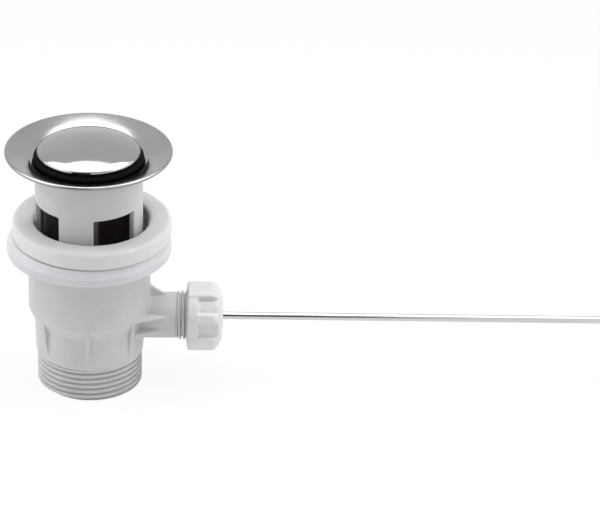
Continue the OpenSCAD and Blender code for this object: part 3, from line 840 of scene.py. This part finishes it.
# Moulded pieces
moulded_body = field_piece("moulded_body", (
    ruler(
        -COLLAR_R - MARGIN,
        (RELIEF_X - FINE_REACH, BODY_STEP),
        (NUT_X + FINE_REACH, SPIGOT_THREAD_STEP),
        (SPIGOT_END_X + MARGIN, BODY_STEP),
    ),
    ruler_across(COLLAR_R, MOULD_STEP),
    ruler(-MARGIN, (LOWER_Z + FINE_REACH, THREAD_STEP), (BODY_TOP_Z + MARGIN, MOULD_STEP)),
), body_field)
dress(moulded_body, body_plastic, "base", "body")
windowed_sleeve = field_piece("windowed_sleeve", (
    ruler_across(SLEEVE_R, MOULD_STEP),
    ruler_across(SLEEVE_R, MOULD_STEP),
    ruler(SEAT_Z - MARGIN, (SLEEVE_TOP_Z + MARGIN, MOULD_STEP)),
), sleeve_field)
dress(windowed_sleeve, sleeve_plastic, "base", "overflow_sleeve")
padded_nut = field_piece("padded_nut", (
    ruler(NUT_X - MARGIN, (NUT_X + NUT_LEN + NUT_BOSS_H + MARGIN, NUT_STEP)),
    ruler_across(NUT_R, NUT_STEP),
    ruler(BRANCH_Z - NUT_R - MARGIN, (BRANCH_Z + NUT_R + MARGIN, NUT_STEP)),
), nut_field)
dress(padded_nut, nut_plastic, "base", "spigot_nut")
finned_guide = field_piece("finned_guide", (
    ruler_across(CAP_R, MOULD_STEP),
    ruler_across(CAP_R, MOULD_STEP),
    ruler(HUB_Z - MARGIN, (CAP_Z + GUIDE_HEADROOM + MARGIN, MOULD_STEP)),
), guide_field)
dress(finned_guide, dark_plastic, "plug", "plug_guide")
threaded_screw = field_piece("threaded_screw", (
    ruler_across(SCREW_R, THREAD_STEP),
    ruler_across(SCREW_R, THREAD_STEP),
    ruler(SCREW_TIP_Z - MARGIN, (SCREW_TOP_Z + MARGIN, THREAD_STEP)),
), screw_field)
dress(threaded_screw, brass, "plug", "adjusting_screw")
hex_nut = field_piece("hex_nut", (
    ruler_across(LOCK_NUT_AF / 2 + LOCK_NUT_CORNER, LOCK_NUT_STEP),
    ruler_across(LOCK_NUT_AF / 2 + LOCK_NUT_CORNER, LOCK_NUT_STEP),
    ruler(LOCK_NUT_Z - MARGIN, (HUB_Z + MARGIN, LOCK_NUT_STEP)),
), lock_nut_field)
dress(hex_nut, brass, "plug", "adjusting_lock_nut")

# Turned and pressed pieces
dished_flange = lathe("dished_flange", flange_outline(), segments=STEEL_SEGMENTS)
dress(dished_flange, brushed_stainless, "base", "flange")
domed_cap = lathe("domed_cap", cap_outline(), segments=STEEL_SEGMENTS)
dress(domed_cap, stainless, "plug", "plug_cap")
dress(lathe("lip_seal", seal_outline()), black_rubber, "plug", "plug_seal")
dress(lathe("cupped_ring", ring_outline()), ring_plastic, "base", "backing_ring")
soft_gasket = lathe("soft_gasket", gasket_outline(), centre=(GASKET_SHIFT, 0))
dress(soft_gasket, gasket_foam_rubber, "base", "basin_gasket")
steel_rod = lathe("steel_rod", rod_outline(), segments=ROD_SEGMENTS, along_x=True)
dress(steel_rod, polished_rod, "lever", "lever_rod")

# Small pieces that keep their solids
KEPT = {
    "sleeve_o_ring": black_rubber,
    "flange_seal": grey_rubber,
    "inner_ball_seat": white_plastic,
    "ball_seal": black_rubber,
    "thrust_washer": white_plastic,
    "pivot_ball": white_plastic,
}
for node, look in KEPT.items():
    paint(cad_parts[node], look)

# Studio, in metres
WHITE = (1, 1, 1, 1)
FLOOR_GREY = (0.88, 0.88, 0.88, 1)
FLOOR_GAP = 0.0002
SCREEN_GREY = (0.02, 0.02, 0.02, 1)


def seen_rays(tree):
    """1 for rays that show the background: from the camera, in gloss and through glass."""
    path = tree.nodes.new("ShaderNodeLightPath")
    total = path.outputs["Is Camera Ray"]
    for name in ("Is Glossy Ray", "Is Transmission Ray"):
        either = tree.nodes.new("ShaderNodeMath")
        either.operation = "MAXIMUM"
        tree.links.new(total, either.inputs[0])
        tree.links.new(path.outputs[name], either.inputs[1])
        total = either.outputs[0]
    return total


def make_world(ambient):
    """Dim light on the object, and white where the background shows."""
    world = bpy.data.worlds.new("studio")
    world.use_nodes = True
    tree = world.node_tree
    tree.nodes.clear()
    dim = tree.nodes.new("ShaderNodeBackground")
    dim.inputs["Color"].default_value = WHITE
    dim.inputs["Strength"].default_value = ambient
    white = tree.nodes.new("ShaderNodeBackground")
    white.inputs["Color"].default_value = WHITE
    mix = tree.nodes.new("ShaderNodeMixShader")
    out = tree.nodes.new("ShaderNodeOutputWorld")
    tree.links.new(seen_rays(tree), mix.inputs["Fac"])
    tree.links.new(dim.outputs[0], mix.inputs[1])
    tree.links.new(white.outputs[0], mix.inputs[2])
    tree.links.new(mix.outputs[0], out.inputs["Surface"])
    bpy.context.scene.world = world


def stage_sheet(name, corners, look):
    """Flat sheet of the studio, which isn't part of the object."""
    mesh = bpy.data.meshes.new(name)
    mesh.from_pydata(corners, [], [(0, 1, 2, 3)])
    mesh.materials.append(look)
    sheet = add_object(name, mesh)
    return sheet


def make_floor(half, glow):
    """White floor that stays white to the camera and keeps a faint shadow."""
    look = bpy.data.materials.new("floor_white")
    look.use_nodes = True
    tree = look.node_tree
    tree.nodes.clear()
    matt = tree.nodes.new("ShaderNodeBsdfDiffuse")
    matt.inputs["Color"].default_value = FLOOR_GREY
    light = tree.nodes.new("ShaderNodeEmission")
    share = tree.nodes.new("ShaderNodeMath")
    share.operation = "MULTIPLY"
    share.inputs[1].default_value = glow
    mix = tree.nodes.new("ShaderNodeMixShader")
    out = tree.nodes.new("ShaderNodeOutputMaterial")
    tree.links.new(seen_rays(tree), share.inputs[0])
    tree.links.new(share.outputs[0], mix.inputs["Fac"])
    tree.links.new(matt.outputs[0], mix.inputs[1])
    tree.links.new(light.outputs[0], mix.inputs[2])
    tree.links.new(mix.outputs[0], out.inputs["Surface"])
    corners = [(-half, -half, 0), (half, -half, 0), (half, half, 0), (-half, half, 0)]
    floor = stage_sheet("floor", corners, look)
    floor.location.z = -FLOOR_GAP


def dark_screen(left, right, y, low, high):
    """Dark upright screen on the camera's side of the studio, seen only in polished metal."""
    look = bpy.data.materials.new("dark_cloth")
    look.use_nodes = True
    look.node_tree.nodes["Principled BSDF"].inputs["Base Color"].default_value = SCREEN_GREY
    corners = [(left, y, low), (right, y, low), (right, y, high), (left, y, high)]
    screen = stage_sheet("dark_screen", corners, look)
    screen.visible_camera = False
    screen.visible_diffuse = False
    screen.visible_shadow = False


def area_light(name, place, aim, size, power):
    """Soft rectangular lamp that the camera doesn't see."""
    data = bpy.data.lights.new(name, "AREA")
    data.shape = "RECTANGLE"
    data.size = size[0]
    data.size_y = size[1]
    data.energy = power
    lamp = add_object(name, data)
    lamp.location = place
    lamp.rotation_euler = (Vector(aim) - Vector(place)).to_track_quat("-Z", "Y").to_euler()
    lamp.visible_camera = False


make_world(ambient=0.30)
make_floor(half=4.0, glow=0.92)
dark_screen(left=-1.2, right=0.22, y=-1.75, low=0.02, high=1.9)
area_light(
    "top_softbox", place=(0.05, 0.03, 0.49), aim=(0.05, 0.03, 0.0), size=(1.1, 0.36), power=3.7)
area_light(
    "left_softbox", place=(-1.0, -0.2, 0.55), aim=(0, 0, 0.05), size=(1.3, 1.0), power=4.4)
area_light(
    "right_softbox", place=(1.0, -0.1, 0.55), aim=(0, 0, 0.05), size=(1.3, 1.0), power=3.6)

# Camera, from where the waste's axis stands in the picture
PICTURE_W = 600
PICTURE_H = 526
AXIS_PX = (89.4, 266.1)
AIM_Z = 0.050
DISTANCE = 1.45
ELEVATION = math.radians(28.6)
AZIMUTH = math.radians(2.3)
ROLL = math.radians(0.38)
PX_PER_MM = 2.51
SENSOR_W = 36.0
CLIP_END = 50

focal_px = PX_PER_MM * DISTANCE / MM
camera = add_object("camera", bpy.data.cameras.new("camera"))
camera.data.sensor_width = SENSOR_W
camera.data.lens = focal_px / PICTURE_W * SENSOR_W
camera.data.clip_end = CLIP_END
level = DISTANCE * math.cos(ELEVATION)
aim = Vector((0, 0, AIM_Z))
camera.location = aim + Vector((
    level * math.sin(AZIMUTH),
    -level * math.cos(AZIMUTH),
    DISTANCE * math.sin(ELEVATION),
))
yaw = math.atan((PICTURE_W / 2 - AXIS_PX[0]) / focal_px)
pitch = math.atan((AXIS_PX[1] - PICTURE_H / 2) / focal_px)
facing = (aim - camera.location).to_track_quat("-Z", "Y").to_matrix()
facing = facing @ Matrix.Rotation(-ROLL, 3, "Z")
facing = facing @ Matrix.Rotation(-yaw, 3, "Y") @ Matrix.Rotation(pitch, 3, "X")
camera.rotation_euler = facing.to_euler()
bpy.context.scene.camera = camera
bpy.context.scene.view_settings.view_transform = "Standard"
